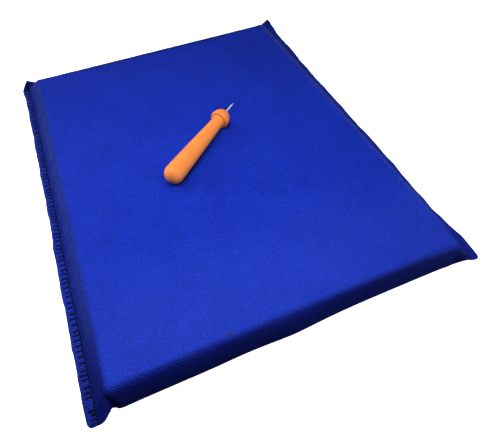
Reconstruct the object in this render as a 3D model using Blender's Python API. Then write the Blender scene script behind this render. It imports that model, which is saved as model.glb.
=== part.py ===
"""A padded pricking mat with the awl that lies on it.

A foam board sits in a non-woven cover. The cover is one sheet, folded over the board's front
end, and its two layers are stitched together along the left, right and back sides. There the
layers slope down to a flat flange at half height. Beside each front corner the flat fold
stands out past the board as an ear. One thread of each seam shows a ladder of rungs towards
the raw edge, and the other thread shows as a plain line on the flange's other face. The awl is
a turned handle with a steel needle set in it.

Frame: the origin is the centre of the mat's underside. X runs across the width, Y runs along
the length with the folded end at -Y, and Z is up. Units are metres.
"""

import math

import bmesh
import bpy
from mathutils import Matrix, Vector

FIT_GAP = 0.0003  # clearance between neighbouring solids
SHARP_ANGLE = math.radians(40)  # edges that turn more than this stay sharp

# Foam core
CORE_WIDTH = 0.210
CORE_LENGTH = 0.283
CORE_THICKNESS = 0.020
CORE_EDGE_RADIUS = 0.002
CORE_EDGE_SEGMENTS = 2

# Cover sheet
SHEET = 0.0005  # thickness of the cloth
SEAM_RUN = 0.0098  # from the mat's top edge out to the stitch line
FLANGE = 0.0048  # from the stitch line out to the raw edge
FRONT_BULGE = 0.0010  # how far the front face swells past the top edge
EAR_REACH = 0.0065  # how much further the fold stands out in the ears
EAR_INSIDE = 0.0010  # the ear begins this far inside the mat's side edge
EAR_BLEND = 0.0065  # width over which the ear reaches full length
CORNER_ROUNDING = 0.18  # share by which a flange corner is drawn in
FRONT_SAG = 0.0010  # droop of the front ears
BACK_CURL = 0.0040  # lift of the back corners
DRIFT_LENGTH = 0.030  # length of flange over which a corner droops or lifts
SLOPE_STEPS = 5
DRIFT_STEPS = 4
FOLD_STEPS = 4

# Stitching: a ladder, or a plain line, along the seam
STITCH_LENGTH = 0.0034
LINE_INSET = 0.0004  # from the foot of the slope to the thread line
THREAD_LINE = 0.00045  # width of the single strand along the seam
RUNG_WIDTH = 0.0008  # width of a rung's two strands side by side
RUNG_LENGTH = 0.0031
THREAD_HEIGHT = 0.00035
LADDER_ON_TOP = {"left": True, "right": False, "back": True}

# Awl
BUTT_RADIUS = 0.0069
NECK_RADIUS = 0.0043
HEAD_RADIUS = 0.0069
TAPER_LENGTH = 0.0595  # from the butt ball's centre to the neck
NECK_FILLET = 0.0012  # flare under the head
RIM_RADIUS = 0.0010  # rounding of the head's rim
DOME_LENGTH = 0.0096
NEEDLE_RADIUS = 0.00055
NEEDLE_EXPOSED = 0.0128
NEEDLE_POINT = 0.0035  # length of the ground point
NEEDLE_SET = 0.018  # depth of the needle in the handle
AWL_SEGMENTS = 24
NEEDLE_SEGMENTS = 12
AWL_X = -0.0324  # place of the butt ball's centre on the mat
AWL_Y = -0.0201
AWL_HEADING = math.radians(39.9)  # from +X towards +Y

# Worked out from the above
HALF_X = CORE_WIDTH / 2 + FIT_GAP + SHEET  # top edges of the covered mat
HALF_Y = CORE_LENGTH / 2 + FIT_GAP + SHEET
HEIGHT = CORE_THICKNESS + 2 * (FIT_GAP + SHEET)
MID_HEIGHT = HEIGHT / 2
HALF_FLANGE = SHEET + FIT_GAP / 2  # half thickness of the two-layer flange
FLANGE_REACH = SEAM_RUN + FLANGE
STITCH_LINE = SEAM_RUN + LINE_INSET

BLUE = (0.020, 0.045, 0.480, 1.0)
NAVY = (0.004, 0.006, 0.030, 1.0)
THREAD_BLUE = (0.010, 0.036, 0.420, 1.0)
FOAM_WHITE = (0.800, 0.790, 0.760, 1.0)
ORANGE = (0.900, 0.260, 0.050, 1.0)
STEEL = (0.720, 0.700, 0.640, 1.0)


def clear_scene():
    for item in list(bpy.data.objects):
        bpy.data.objects.remove(item, do_unlink=True)


def make_material(name, colour, roughness, metallic=0.0):
    material = bpy.data.materials.new(name)
    material.use_nodes = True
    shader = material.node_tree.nodes["Principled BSDF"]
    shader.inputs["Base Color"].default_value = colour
    shader.inputs["Roughness"].default_value = roughness
    shader.inputs["Metallic"].default_value = metallic
    return material


def add_mesh_object(name, points, faces, material, closed=True):
    """A mesh object from points and faces. A closed one has its faces turned outwards."""
    mesh = bpy.data.meshes.new(name)
    work = bmesh.new()
    corners = [work.verts.new(point) for point in points]
    for face in faces:
        work.faces.new([corners[index] for index in face])
    if closed:
        bmesh.ops.recalc_face_normals(work, faces=work.faces)
    work.to_mesh(mesh)
    work.free()
    mesh.materials.append(material)
    item = bpy.data.objects.new(name, mesh)
    bpy.context.scene.collection.objects.link(item)
    return item


def shade_round(mesh):
    """Smooth shading that keeps real edges sharp."""
    mesh.shade_smooth()
    mesh.set_sharp_from_angle(angle=SHARP_ANGLE)


def smoothstep(value):
    share = min(max(value, 0.0), 1.0)
    return share * share * (3.0 - 2.0 * share)


def bezier(controls, share):
    """Point at a share of the way along a cubic Bezier curve in the plane."""
    rest = 1.0 - share
    weights = (rest**3, 3 * rest**2 * share, 3 * rest * share**2, share**3)
    return tuple(sum(w * c[axis] for w, c in zip(weights, controls)) for axis in (0, 1))


def slope_profile():
    """(distance out from the top edge, fullness 1 to 0) down a sewn side."""
    controls = ((-0.003, 1.0), (0.0008, 1.0), (0.72 * SEAM_RUN, 0.45), (SEAM_RUN, 0.0))
    return [bezier(controls, step / SLOPE_STEPS) for step in range(SLOPE_STEPS + 1)]


def front_profile():
    """(distance out, fullness, share of the ear's reach) down the folded front face."""
    controls = ((-0.002, 1.0), (0.0009, 1.0), (0.0013, 0.7), (FRONT_BULGE, 0.0))
    shares = [step / SLOPE_STEPS for step in range(SLOPE_STEPS + 1)]
    return [(*bezier(controls, share), share) for share in shares]


def ear_weight(x):
    """0 over the mat, 1 in the ears beside its front corners."""
    return smoothstep((abs(x) - HALF_X + EAR_INSIDE) / EAR_BLEND)


def place(x, y, z):
    """Draws a flange corner in, and lets the corner droop at the front or lift at the back."""
    out_x = max(abs(x) - HALF_X, 0.0)
    out_y = max(abs(y) - HALF_Y, 0.0)
    corner = CORNER_ROUNDING * out_x * out_y / FLANGE_REACH**2
    along = (abs(y) - HALF_Y + DRIFT_LENGTH) / (DRIFT_LENGTH + FLANGE_REACH)
    drift = max(along, 0.0) ** 2 * out_x / FLANGE_REACH
    rise = BACK_CURL if y > 0 else -FRONT_SAG
    return Vector(
        (
            x - math.copysign(out_x * corner, x),
            y - math.copysign(out_y * corner, y),
            z + rise * drift,
        )
    )


def cover_columns():
    """(x, fullness) from the left raw edge to the right one."""
    right = [(HALF_X + out, full) for out, full in slope_profile()]
    right.append((HALF_X + FLANGE_REACH, 0.0))
    left = [(-x, full) for x, full in reversed(right)]
    return left + [(0.0, 1.0)] + right


def layer_rows():
    """(y, fullness, share of the ear's reach) from the back raw edge to the front fold."""
    back = [(HALF_Y + out, full, 0.0) for out, full in slope_profile()]
    back.append((HALF_Y + FLANGE_REACH, 0.0, 0.0))
    back.reverse()
    flat = [HALF_Y - DRIFT_LENGTH * step / DRIFT_STEPS for step in range(1, DRIFT_STEPS + 1)]
    middle = [(y, 1.0, 0.0) for y in flat] + [(-y, 1.0, 0.0) for y in reversed(flat)]
    front = [(-HALF_Y - out, full, share) for out, full, share in front_profile()]
    return back + middle + front


def layer_point(column, row, side):
    """Outer surface of the top (side 1) or bottom (side -1) layer."""
    x, full_x = column
    y, full_y, reach = row
    y -= ear_weight(x) * EAR_REACH * reach
    rise = HALF_FLANGE + full_x * full_y * (MID_HEIGHT - HALF_FLANGE)
    return place(x, y, MID_HEIGHT + side * rise)


def fold_point(column, turn):
    """Outer surface round the fold, where turn goes from the top layer to the bottom one."""
    x = column[0]
    ear = ear_weight(x)
    y = -HALF_Y - FRONT_BULGE - ear * (EAR_REACH + HALF_FLANGE * math.sin(turn))
    return place(x, y, MID_HEIGHT + HALF_FLANGE * math.cos(turn))


def build_cover(material):
    columns = cover_columns()
    rows = layer_rows()
    strips = [[layer_point(c, row, 1) for c in columns] for row in rows]
    for step in range(1, FOLD_STEPS):
        turn = math.pi * step / FOLD_STEPS
        strips.append([fold_point(c, turn) for c in columns])
    strips += [[layer_point(c, row, -1) for c in columns] for row in reversed(rows)]
    width = len(columns)
    points = [point for strip in strips for point in strip]
    faces = []
    for strip in range(len(strips) - 1):
        for column in range(width - 1):
            first = strip * width + column
            faces.append((first, first + width, first + width + 1, first + 1))
    cover = add_mesh_object("cover", points, faces, material, closed=False)
    shade_round(cover.data)
    thickness = cover.modifiers.new("sheet_thickness", "SOLIDIFY")
    thickness.thickness = SHEET
    thickness.offset = -1.0
    thickness.use_even_offset = True
    thickness.use_quality_normals = True
    return cover


def build_core(material):
    mesh = bpy.data.meshes.new("foam_core")
    work = bmesh.new()
    bmesh.ops.create_cube(work, size=1.0)
    size = Matrix.Diagonal((CORE_WIDTH, CORE_LENGTH, CORE_THICKNESS, 1.0))
    bmesh.ops.transform(work, matrix=size, verts=work.verts)
    work.to_mesh(mesh)
    work.free()
    mesh.materials.append(material)
    core = bpy.data.objects.new("foam_core", mesh)
    core.location = (0.0, 0.0, MID_HEIGHT)
    bpy.context.scene.collection.objects.link(core)
    edge = core.modifiers.new("soft_edge", "BEVEL")
    edge.width = CORE_EDGE_RADIUS
    edge.segments = CORE_EDGE_SEGMENTS
    return core


def ladder_points(seam_point, station, side):
    """Bar and rung corners of a thread at one station, near the flange and away from it."""
    near = HALF_FLANGE + FIT_GAP
    outs = (0.0, THREAD_LINE, RUNG_LENGTH)
    return [
        seam_point(station, out, MID_HEIGHT + side * (near + lift))
        for lift in (0.0, THREAD_HEIGHT)
        for out in outs
    ]


def build_ladder_thread(name, seam_point, start, end, side, material):
    """A ladder-stitch thread: a strand along the seam with a rung at every stitch.

    seam_point(station, out, z) gives a point at a distance out from the stitch line.
    """
    rungs = int((end - start - RUNG_WIDTH) / STITCH_LENGTH) + 1
    points = []
    faces = []
    for rung in range(rungs):
        first = start + rung * STITCH_LENGTH
        for station in (first, first + RUNG_WIDTH):
            points += ladder_points(seam_point, station, side)
    # Each station holds six points: 0 to 2 near the flange, 3 to 5 away from it
    for rung in range(rungs):
        a = rung * 12
        b = a + 6
        for low, high in ((0, 1), (1, 2)):
            faces.append((a + low, a + high, b + high, b + low))
            faces.append((a + low + 3, b + low + 3, b + high + 3, a + high + 3))
        faces.append((a, b, b + 3, a + 3))
        faces.append((a + 2, a + 5, b + 5, b + 2))
        faces.append((a + 1, a + 4, a + 5, a + 2))
        faces.append((b + 1, b + 2, b + 5, b + 4))
        if rung == 0:
            faces.append((a, a + 3, a + 4, a + 1))
        if rung == rungs - 1:
            faces.append((b, b + 1, b + 4, b + 3))
            continue
        c = b + 6
        faces.append((b, b + 1, c + 1, c))
        faces.append((b + 3, c + 3, c + 4, b + 4))
        faces.append((b, c, c + 3, b + 3))
        faces.append((b + 1, b + 4, c + 4, c + 1))
    return add_mesh_object(name, points, faces, material)


def build_plain_thread(name, seam_point, start, end, side, material):
    """A thread that shows as one strand along the stitch line."""
    near = HALF_FLANGE + FIT_GAP
    far = near + THREAD_HEIGHT
    section = ((0.0, near), (THREAD_LINE, near), (THREAD_LINE, far), (0.0, far))
    lengths = int((end - start) / STITCH_LENGTH)
    points = []
    for step in range(lengths + 1):
        station = start + (end - start) * step / lengths
        points += [seam_point(station, out, MID_HEIGHT + side * lift) for out, lift in section]
    last = 4 * lengths
    faces = [(0, 1, 2, 3), (last + 3, last + 2, last + 1, last)]
    for first in range(0, last, 4):
        for corner in range(4):
            following = (corner + 1) % 4
            faces.append(
                (first + corner, first + 4 + corner, first + 4 + following, first + following)
            )
    return add_mesh_object(name, points, faces, material)


def build_seam_threads(name, seam_point, start, end, navy, blue):
    """The needle thread on top of one flange, and the bobbin thread under it."""
    for side, word in ((1, "needle"), (-1, "bobbin")):
        piece = f"{name}_seam_{word}_thread"
        if LADDER_ON_TOP[name] == (side > 0):
            build_ladder_thread(piece, seam_point, start, end, side, navy)
        else:
            build_plain_thread(piece, seam_point, start, end, side, blue)


def build_side_threads(name, side_x, navy, blue):
    """The threads of one long side, from the ear to the back seam."""

    def seam_point(station, out, z):
        return place(side_x * (HALF_X + STITCH_LINE + out), station, z)

    start = -HALF_Y - EAR_REACH
    end = HALF_Y + SEAM_RUN - LINE_INSET
    build_seam_threads(name, seam_point, start, end, navy, blue)


def build_back_threads(navy, blue):
    """The threads across the back end, past both corners."""

    def seam_point(station, out, z):
        return place(station, HALF_Y + STITCH_LINE + out, z)

    end = HALF_X + STITCH_LINE + RUNG_LENGTH
    build_seam_threads("back", seam_point, -end, end, navy, blue)


def arc(centre, radii, start, end, steps):
    """(along, radius) points on an elliptical arc, angles in degrees from the +along axis."""
    turns = [math.radians(start + (end - start) * step / steps) for step in range(steps + 1)]
    return [
        (centre[0] + radii[0] * math.cos(turn), centre[1] + radii[1] * math.sin(turn))
        for turn in turns
    ]


def turned_solid(name, profile, segments, material):
    """A solid of revolution about local X from (along, radius) points, pole to pole."""
    points = []
    rings = []
    for along, radius in profile:
        first = len(points)
        count = segments if radius > 0.0 else 1
        for step in range(count):
            turn = 2 * math.pi * step / count
            points.append((along, radius * math.cos(turn), radius * math.sin(turn)))
        rings.append([first + step for step in range(count)])
    faces = []
    for inner, outer in zip(rings, rings[1:]):
        for step in range(segments):
            following = (step + 1) % segments
            corners = [
                inner[step % len(inner)],
                inner[following % len(inner)],
                outer[following % len(outer)],
                outer[step % len(outer)],
            ]
            faces.append(list(dict.fromkeys(corners)))
    item = add_mesh_object(name, points, faces, material)
    shade_round(item.data)
    return item


def handle_profile():
    """Handle outline from the butt's pole, over the head's dome, to the foot of the bore."""
    butt = arc((0.0, 0.0), (BUTT_RADIUS, BUTT_RADIUS), 180, 88, 7)
    shoulder = TAPER_LENGTH + NECK_FILLET
    flare = arc(
        (TAPER_LENGTH, NECK_RADIUS + NECK_FILLET), (NECK_FILLET, NECK_FILLET), -90, 0, 3
    )
    rim_centre = (shoulder + RIM_RADIUS, HEAD_RADIUS - RIM_RADIUS)
    rim = arc(rim_centre, (RIM_RADIUS, RIM_RADIUS), 180, 90, 2)
    dome = arc((rim_centre[0], 0.0), (DOME_LENGTH, HEAD_RADIUS), 90, 0, 7)
    bore = NEEDLE_RADIUS + FIT_GAP
    mouth = dome[-1][0]
    foot = mouth - NEEDLE_SET - FIT_GAP
    return (
        [(butt[0][0], 0.0)] + butt[1:] + flare + rim + dome[1:-1]
        + [(mouth, bore), (foot, bore), (foot, 0.0)]
    )


def build_awl(orange, steel):
    """Handle and needle lie along local X of an empty at the butt ball's centre."""
    pivot = bpy.data.objects.new("awl_place", None)
    pivot.location = (AWL_X, AWL_Y, HEIGHT + FIT_GAP + HEAD_RADIUS)
    pivot.rotation_euler = (0.0, 0.0, AWL_HEADING)
    bpy.context.scene.collection.objects.link(pivot)
    handle = turned_solid("awl_handle", handle_profile(), AWL_SEGMENTS, orange)
    handle.parent = pivot
    mouth = TAPER_LENGTH + NECK_FILLET + RIM_RADIUS + DOME_LENGTH
    tip = mouth + NEEDLE_EXPOSED
    outline = [
        (mouth - NEEDLE_SET, 0.0),
        (mouth - NEEDLE_SET, NEEDLE_RADIUS),
        (tip - NEEDLE_POINT, NEEDLE_RADIUS),
        (tip, 0.0),
    ]
    needle = turned_solid("awl_needle", outline, NEEDLE_SEGMENTS, steel)
    needle.parent = pivot


def build():
    clear_scene()
    navy = make_material("navy_thread", NAVY, 0.75)
    blue = make_material("blue_thread", THREAD_BLUE, 0.75)
    build_core(make_material("foam", FOAM_WHITE, 0.95))
    build_cover(make_material("blue_nonwoven", BLUE, 0.75))
    build_side_threads("left", -1, navy, blue)
    build_side_threads("right", 1, navy, blue)
    build_back_threads(navy, blue)
    orange = make_material("orange_plastic", ORANGE, 0.45)
    build_awl(orange, make_material("needle_steel", STEEL, 0.30, 1.0))


build()
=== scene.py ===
"""Looks of the padded pricking mat: its sewn non-woven cover, foam board, stitching and awl.

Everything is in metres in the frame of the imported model: the origin is the centre of the mat's
underside, X runs across it, Y runs along it with the folded end at -Y, and Z is up. The cloth
has its own coordinates: `a` runs across it from its middle line, and `b` runs along each layer,
both measured on the cloth.
"""

import math

import bmesh
import bpy
import numpy as np
from mathutils import Euler, Matrix, Vector


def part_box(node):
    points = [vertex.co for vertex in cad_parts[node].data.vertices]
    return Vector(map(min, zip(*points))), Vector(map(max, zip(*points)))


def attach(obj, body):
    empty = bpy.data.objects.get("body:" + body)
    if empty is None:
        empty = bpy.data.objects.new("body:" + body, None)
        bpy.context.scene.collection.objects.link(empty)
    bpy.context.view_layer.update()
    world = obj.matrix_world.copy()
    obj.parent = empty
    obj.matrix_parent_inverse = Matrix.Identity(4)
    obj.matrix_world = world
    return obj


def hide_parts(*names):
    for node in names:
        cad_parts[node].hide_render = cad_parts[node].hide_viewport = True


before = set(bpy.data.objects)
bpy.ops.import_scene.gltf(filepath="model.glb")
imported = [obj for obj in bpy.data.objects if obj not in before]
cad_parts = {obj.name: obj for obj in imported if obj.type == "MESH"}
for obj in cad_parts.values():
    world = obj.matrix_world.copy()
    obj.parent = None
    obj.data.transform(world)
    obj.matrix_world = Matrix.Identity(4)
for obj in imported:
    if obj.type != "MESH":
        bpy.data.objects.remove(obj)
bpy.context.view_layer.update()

MM = 0.001

# The mat, from the frame
core_low, core_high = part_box("foam_core")
cover_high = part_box("cover")[1]
CLOTH = 0.5 * MM
CLEARANCE = 0.3 * MM  # between the cloth and the board, and between the two layers
HALF_X = core_high.x + CLOTH + CLEARANCE  # top edges of the covered mat
HALF_Y = core_high.y + CLOTH + CLEARANCE
HEIGHT = cover_high.z
MIDDLE = HEIGHT / 2
REACH = cover_high.x - HALF_X  # from the top edge out to the raw edge
HALF_FLANGE = CLOTH + CLEARANCE / 2
DROP = MIDDLE - HALF_FLANGE  # from the top of the mat down to the flange

# The sewn edges
FLANGE = 5.4 * MM  # from the stitch line out to the raw edge
SEAM_RUN = REACH - FLANGE
EDGE_LEAD = 1.5 * MM  # the slope begins this far inside the top edge
FLARE = (1.7 * MM, 0.7 * MM)  # the top is this much wider at its front end, left and right

# The folded front
FRONT_LEAD = 2.5 * MM
BELLY = 3.4 * MM  # how far the fold stands out past the top's front edge
EAR_START = (1.5 * MM, 0.5 * MM)  # past the side edge, left and right
EAR_BLEND = (7.0 * MM, 11.0 * MM)
EAR_REACH = (8.0 * MM, 4.4 * MM)
EAR_CORNER = 2.2 * MM  # radius of the ears' outer corners
EAR_DROOP = 0.6 * MM
DROOP_LENGTH = 40 * MM
CORNER_DROP = 2.5 * MM  # the foam's front right corner is crushed by this much
CORNER_SPAN = (32 * MM, 22 * MM)  # and over this much of the front and of the side

# How the flange lies. A change along an edge is given by its place, its width and its size.
CORNER_ROUNDING = 0.45
CORNER_LIFT = (8.0 * MM, 10.5 * MM)  # of the back corners, left and right
LIFT_START_X = -2.0 * MM  # past the side edge
LIFT_START_Y = (0.5 * MM, -4.0 * MM)  # past the back edge
LEFT_SWAY = 0.45 * MM  # the left raw edge bows in at the back and out at the front
SWAY_PLACE = (10 * MM, 40 * MM)
LEFT_LOBE = (HALF_Y + 7 * MM, 6 * MM, 1.7 * MM)  # it stands out at the back left corner
RIGHT_DRAWN = (-80 * MM, 40 * MM, 0.4 * MM)  # the right raw edge is drawn in
RIGHT_FRONT = (-136 * MM, 12 * MM, 1.4 * MM)  # and stands out near the front and the back
RIGHT_BACK = (60 * MM, 50 * MM, 0.9 * MM)
RIGHT_DROOP = 2.0 * MM
RIGHT_EASED = (60 * MM, 50 * MM, 0.4)  # the share of the droop that is gone at the back
RIGHT_SAG = (-95 * MM, 35 * MM, 1.3 * MM)  # further droop where the flange is drawn in
FLANGE_WAVE = 0.45 * MM  # unevenness of the flange's height
EDGE_WAVE = 0.30 * MM  # unevenness of the raw edge
PROFILE_POINTS = 400

# How much of the belly the front keeps, as changes from its full share
BELLY_RIGHT = (-10 * MM, 60 * MM, -0.38)
BELLY_LEFT = (30 * MM, 30 * MM, 0.18)
BELLY_MIDDLE = (-5 * MM, 16 * MM, 0.25)
BELLY_LEFT_END = (HALF_X - 2.5 * MM, 4.5 * MM, -0.85)

# Stitching
STITCH = 3.4 * MM
STITCH_SPREAD = 0.30
FIRST_STITCHES = 1.45  # the first three are this many times longer
LINE_OUT = 0.3 * MM  # from the foot of the slope to the thread line
RUNG = 3.1 * MM
STRAND = 0.26 * MM  # radius of the thread
LADDER_SIDE = {"left": 1, "right": -1, "back": 1}  # the layer that shows the rungs

# Emboss of the cloth, in millimetres
EMBOSS_ACROSS = 1.94
EMBOSS_ALONG = 1.77

SEEDS = {"left": 11, "right": 23, "back": 37}


# ---- small helpers


def smoothstep(value):
    share = np.clip(value, 0.0, 1.0)
    return share * share * (3.0 - 2.0 * share)


def rise(value, start, width, size=1.0):
    """0 up to `start`, then smoothly up to `size` over `width`."""
    return size * smoothstep((value - start) / width)


def hill(value, middle, width, size=1.0):
    """`size` at `middle`, falling to 0 on both sides of it."""
    return size * np.exp(-(((value - middle) / width) ** 2))


def bezier(controls, share):
    rest = 1.0 - share
    weights = (rest**3, 3 * rest**2 * share, 3 * rest * share**2, share**3)
    return [sum(w * c[axis] for w, c in zip(weights, controls)) for axis in (0, 1)]


def catmull_rom(t):
    """Weights of four points in a row, at the share `t` of the way from the second to the third."""
    return (
        -0.5 * t**3 + t**2 - 0.5 * t,
        1.5 * t**3 - 2.5 * t**2 + 1.0,
        -1.5 * t**3 + 2.0 * t**2 + 0.5 * t,
        0.5 * t**3 - 0.5 * t**2,
    )


def arc_length(*coordinates):
    steps = np.sqrt(sum(np.diff(c) ** 2 for c in coordinates))
    return np.concatenate([[0.0], np.cumsum(steps)])


def wave(station, length, seed):
    """Smooth unevenness between about -1 and 1, with a longest wave of the given length."""
    rng = np.random.default_rng(seed)
    total = 0.0
    for octave in range(4):
        size = 0.6**octave
        stretch = length / (1.0, 1.9, 3.3, 5.7)[octave]
        total = total + size * np.sin(2 * np.pi * station / stretch + rng.uniform(0, 6.28))
    return total / 1.8


def add_object(name, data, material=None):
    if material:
        data.materials.append(material)
    item = bpy.data.objects.new(name, data)
    bpy.context.scene.collection.objects.link(item)
    return item


def new_mesh(name, points, faces):
    mesh = bpy.data.meshes.new(name)
    mesh.from_pydata(points, [], faces)
    return mesh


def shade(mesh, sharp_from):
    """Smooth shading, but for edges sharper than an angle in degrees."""
    mesh.shade_smooth()
    mesh.set_sharp_from_angle(angle=math.radians(sharp_from))


def ring_faces(rings, sides):
    """Faces between neighbouring rings of points. A ring of one point closes an end."""
    faces = []
    for inner, outer in zip(rings, rings[1:]):
        for step in range(sides):
            following = (step + 1) % sides
            corners = [inner[step % len(inner)], inner[following % len(inner)]]
            corners += [outer[following % len(outer)], outer[step % len(outer)]]
            faces.append(list(dict.fromkeys(corners)))
    return faces


def finish_piece(item, body, node):
    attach(item, body)
    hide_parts(node)


# ---- shape of the cover


class Profile:
    """A Bezier cross-section of the cover, from its flat top down to mid-height.

    Its places are given as `run`, from 0 at the flat top to 1 at mid-height, by arc length.
    """

    def __init__(self, *controls):
        share = np.linspace(0.0, 1.0, PROFILE_POINTS)
        out, full = bezier(controls, share)
        arc = arc_length(out, full * DROP)
        self.length = arc[-1]
        self.run = arc / self.length
        self.values = {"out": out, "full": full, "share": share}

    def at(self, run, what):
        return np.interp(run, self.run, self.values[what])


LEFT = Profile((-EDGE_LEAD, 1), (1.2 * MM, 1), (0.70 * SEAM_RUN, 0.42), (SEAM_RUN, 0))
RIGHT = Profile((-EDGE_LEAD, 1), (1.2 * MM, 1), (0.52 * SEAM_RUN, 0.74), (SEAM_RUN, 0))
BACK = Profile((-EDGE_LEAD, 1), (3.2 * MM, 1), (0.80 * SEAM_RUN, 0.95), (SEAM_RUN, 0))
FRONT_TOP = Profile((-FRONT_LEAD, 1), (1.4 * MM, 1), (0.56 * BELLY, 0.64), (BELLY, 0))
FRONT_BOTTOM = Profile((-FRONT_LEAD, 1), (0.90 * BELLY, 1), (BELLY, 0.85), (BELLY, 0))
FLAT_A = HALF_X - EDGE_LEAD
FLAT_BACK = HALF_Y - EDGE_LEAD
FLAT_FRONT = HALF_Y - FRONT_LEAD
SEAM_A = FLAT_A + LEFT.length  # the foot of the slope, on the cloth
SEAM_B = FLAT_BACK + BACK.length
RAW_A = SEAM_A + FLANGE
RAW_B = SEAM_B + FLANGE
FOLD_B = -(FLAT_FRONT + FRONT_TOP.length)


def by_side(x, left_and_right):
    """The left or the right value, by the sign of x."""
    return np.where(x > 0, left_and_right[1], left_and_right[0])


def across(a):
    """Position and fullness at `a` across the cloth."""
    run = (np.abs(a) - FLAT_A) / LEFT.length
    out = np.where(a > 0, RIGHT.at(run, "out"), LEFT.at(run, "out"))
    full = np.where(a > 0, RIGHT.at(run, "full"), LEFT.at(run, "full"))
    out = out + np.maximum(np.abs(a) - SEAM_A, 0.0)
    out = np.where(run < 0, np.abs(a) - HALF_X, out)
    return np.sign(a) * (HALF_X + out), full


def along(b, side):
    """Position, fullness and share of the ear at `b` along the top or bottom layer."""
    back = (b - FLAT_BACK) / BACK.length
    out_back = BACK.at(back, "out") + np.maximum(b - SEAM_B, 0.0)
    profile = FRONT_TOP if side > 0 else FRONT_BOTTOM
    front = (-b - FLAT_FRONT) / FRONT_TOP.length
    y = np.where(back > 0, HALF_Y + out_back, b)
    y = np.where(front > 0, -HALF_Y - profile.at(front, "out"), y)
    full = np.where(b > 0, BACK.at(back, "full"), profile.at(front, "full"))
    return y, full, np.where(front > 0, profile.at(front, "share"), 0.0)


def front_belly(x):
    """Share of the belly that the front keeps: more to the left, less at its ends."""
    sides = rise(x, *BELLY_RIGHT) + rise(-x, *BELLY_LEFT)
    return 1.0 + sides + hill(x, *BELLY_MIDDLE) + rise(-x, *BELLY_LEFT_END)


def crushed(x, y):
    """How far the top sinks towards its front right corner."""
    right = rise(x, HALF_X - CORNER_SPAN[0], CORNER_SPAN[0])
    front = rise(-y, HALF_Y - CORNER_SPAN[1], CORNER_SPAN[1])
    return CORNER_DROP * right * front


def flange_lift(x, y, out_x, out_y):
    """Height of the sewn flange over the mat's middle plane."""
    start_y = by_side(x, LIFT_START_Y)
    lift_x = rise(out_x, LIFT_START_X, REACH - LIFT_START_X)
    lift_y = np.clip((y - HALF_Y - start_y) / (REACH - start_y), 0, 1) ** 2
    lift = by_side(x, CORNER_LIFT) * lift_x * lift_y
    ear = np.clip((-y - HALF_Y + DROOP_LENGTH) / (DROOP_LENGTH + EAR_REACH[0]), 0, 1.2)
    eased = 1.0 - rise(y, *RIGHT_EASED)
    droop = EAR_DROOP * ear + (x > 0) * (RIGHT_DROOP * eased + hill(y, *RIGHT_SAG))
    uneven = FLANGE_WAVE * wave(y, 90 * MM, 5)
    uneven_back = FLANGE_WAVE * wave(x, 70 * MM, 6) * out_y / REACH * (y > 0)
    return lift + (uneven - droop) * out_x / REACH + uneven_back


def settle(x, y, z, full):
    """How the cover really lies: flared, with its flange drawn in, lifted, drooping and wavy."""
    out_x = np.maximum(np.abs(x) - HALF_X, 0.0)
    out_y = np.maximum(np.abs(y) - HALF_Y, 0.0)
    outward = np.sign(x)
    rounding = CORNER_ROUNDING * (out_x * out_y / REACH**2) ** 2.5 * (y > 0)
    sideways = np.minimum(np.abs(x) / HALF_X, 1)
    wider = by_side(x, FLARE) * np.clip(-y / HALF_Y, 0, 1) * full * sideways
    left = LEFT_SWAY * (2 * rise(-y, *SWAY_PLACE) - 1) + hill(y, *LEFT_LOBE)
    right = hill(y, *RIGHT_FRONT) - hill(y, *RIGHT_DRAWN) + rise(y, *RIGHT_BACK)
    spread = left * (x < 0) + right * (x > 0)
    new_x = x + outward * (wider + spread * out_x / REACH - rounding * out_x)
    new_y = y - out_y * rounding
    edge = rise(out_x, SEAM_RUN, FLANGE)
    edge_back = rise(out_y, SEAM_RUN, FLANGE) * (y > 0)
    new_x = new_x + outward * edge * EDGE_WAVE * wave(y + 0.1 * x, 34 * MM, 7)
    new_y = new_y + edge_back * EDGE_WAVE * wave(x, 34 * MM, 8)
    return new_x, new_y, z + (1.0 - full) * flange_lift(x, y, out_x, out_y)


def ear_share(x):
    """0 on the mat's front face, 1 where the flange's front end stands out as an ear."""
    past = (np.abs(x) - HALF_X - by_side(x, EAR_START)) / by_side(x, EAR_BLEND)
    past = np.clip(past, 0.0, 1.0)
    return np.where(x > 0, 1.0 - (1.0 - past) ** 1.6, (1.0 - (1.0 - past) ** 2) ** 0.8)


def ear_corner(x):
    """How much shorter an ear is near its rounded outer corner."""
    near = np.clip((np.abs(x) - HALF_X - REACH) / EAR_CORNER + 1.0, 0.0, 1.0)
    return EAR_CORNER * (1.0 - np.sqrt(1.0 - near**2))


def smooth_surface(a, b, side):
    """Outer surface of the top (side 1) or bottom (side -1) layer, before stitches pucker it."""
    x, full_x = across(a)
    y, full_y, share = along(b, side)
    y = np.where(y < -HALF_Y, -HALF_Y + (y + HALF_Y) * front_belly(x), y)
    y = y - ear_share(x) * (by_side(x, EAR_REACH) - ear_corner(x)) * share
    full = full_x * full_y
    z = MIDDLE + side * (HALF_FLANGE + full * DROP)
    if side > 0:
        z = z - crushed(x, y) * full
    return np.stack(np.broadcast_arrays(*settle(x, y, z, full)), -1)


def surface_normal(a, b, side):
    step = 0.2 * MM
    slope_a = smooth_surface(a + step, b, side) - smooth_surface(a - step, b, side)
    slope_b = smooth_surface(a, b + step, side) - smooth_surface(a, b - step, side)
    normal = np.cross(slope_a, slope_b) * side
    length = np.linalg.norm(normal, axis=-1, keepdims=True)
    return normal / np.maximum(length, 1e-12)


# ---- stitches


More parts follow.
